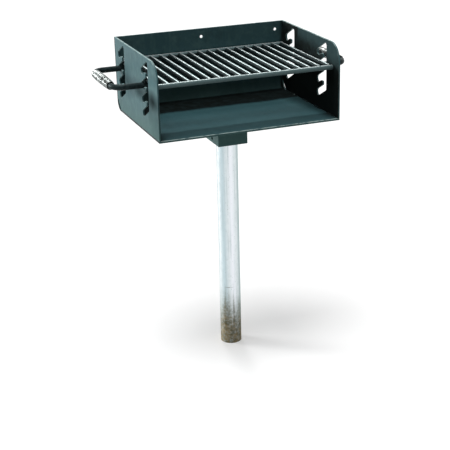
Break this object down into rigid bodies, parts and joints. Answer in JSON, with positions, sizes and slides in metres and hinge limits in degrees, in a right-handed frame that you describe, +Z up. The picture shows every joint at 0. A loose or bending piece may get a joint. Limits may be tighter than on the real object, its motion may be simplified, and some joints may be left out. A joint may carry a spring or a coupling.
{
  "type": "park charcoal grill on a post",
  "caption": "Open-front steel firebox turning on a pipe post, with a lift-and-drop cooking grate held in slotted side panels by rods that end in coil spring grips.",
  "frame": {"origin": "on the axis of the post, at the ground line", "axes": "+Z up along the post, -Y out of the open front of the firebox, +X to the right seen from the front"},
  "size_m": [0.6886, 0.375, 0.89],
  "materials": {
    "painted_steel": "weathered dark grey-green paint, scuffed at the edges, sooty inside",
    "grate_steel": "black steel bar, seasoned, with bright worn tops",
    "galvanised_steel": "weathered galvanised pipe, soiled near the ground",
    "nickel_wire": "bright nickel-plated spring wire",
    "pin_steel": "plain steel"
  },
  "bodies": {
    "post": {"post_pipe": "galvanised_steel", "retaining_pin": "pin_steel"},
    "firebox": {"socket_sleeve": "painted_steel", "socket_bottom_plate": "painted_steel", "firebox_pan": "painted_steel", "side_panel_left": "painted_steel", "side_panel_right": "painted_steel"},
    "grate": {"handle_left": "grate_steel", "handle_right": "grate_steel", "spring_grip_left": "nickel_wire", "spring_grip_right": "nickel_wire", "grate_crossbar_front": "grate_steel", "grate_crossbar_rear": "grate_steel", "grate_bar_01": "grate_steel", "grate_bar_02": "grate_steel", "grate_bar_03": "grate_steel", "grate_bar_04": "grate_steel", "grate_bar_05": "grate_steel", "grate_bar_06": "grate_steel", "grate_bar_07": "grate_steel", "grate_bar_08": "grate_steel", "grate_bar_09": "grate_steel", "grate_bar_10": "grate_steel", "grate_bar_11": "grate_steel", "grate_bar_12": "grate_steel", "grate_bar_13": "grate_steel", "grate_bar_14": "grate_steel", "grate_bar_15": "grate_steel", "grate_bar_16": "grate_steel", "grate_bar_17": "grate_steel", "grate_bar_18": "grate_steel"}
  },
  "joints": [
    {"name": "firebox_swivel", "type": "hinge", "parent": "post", "child": "firebox", "pos_m": [0, 0, 0.685], "axis": [0, 0, 1], "continuous": true},
    {"name": "grate_draw", "type": "slide", "parent": "firebox", "child": "grate", "axis": [0, -0.8829, 0.4695], "range_m": [0, 0.045]}
  ]
}
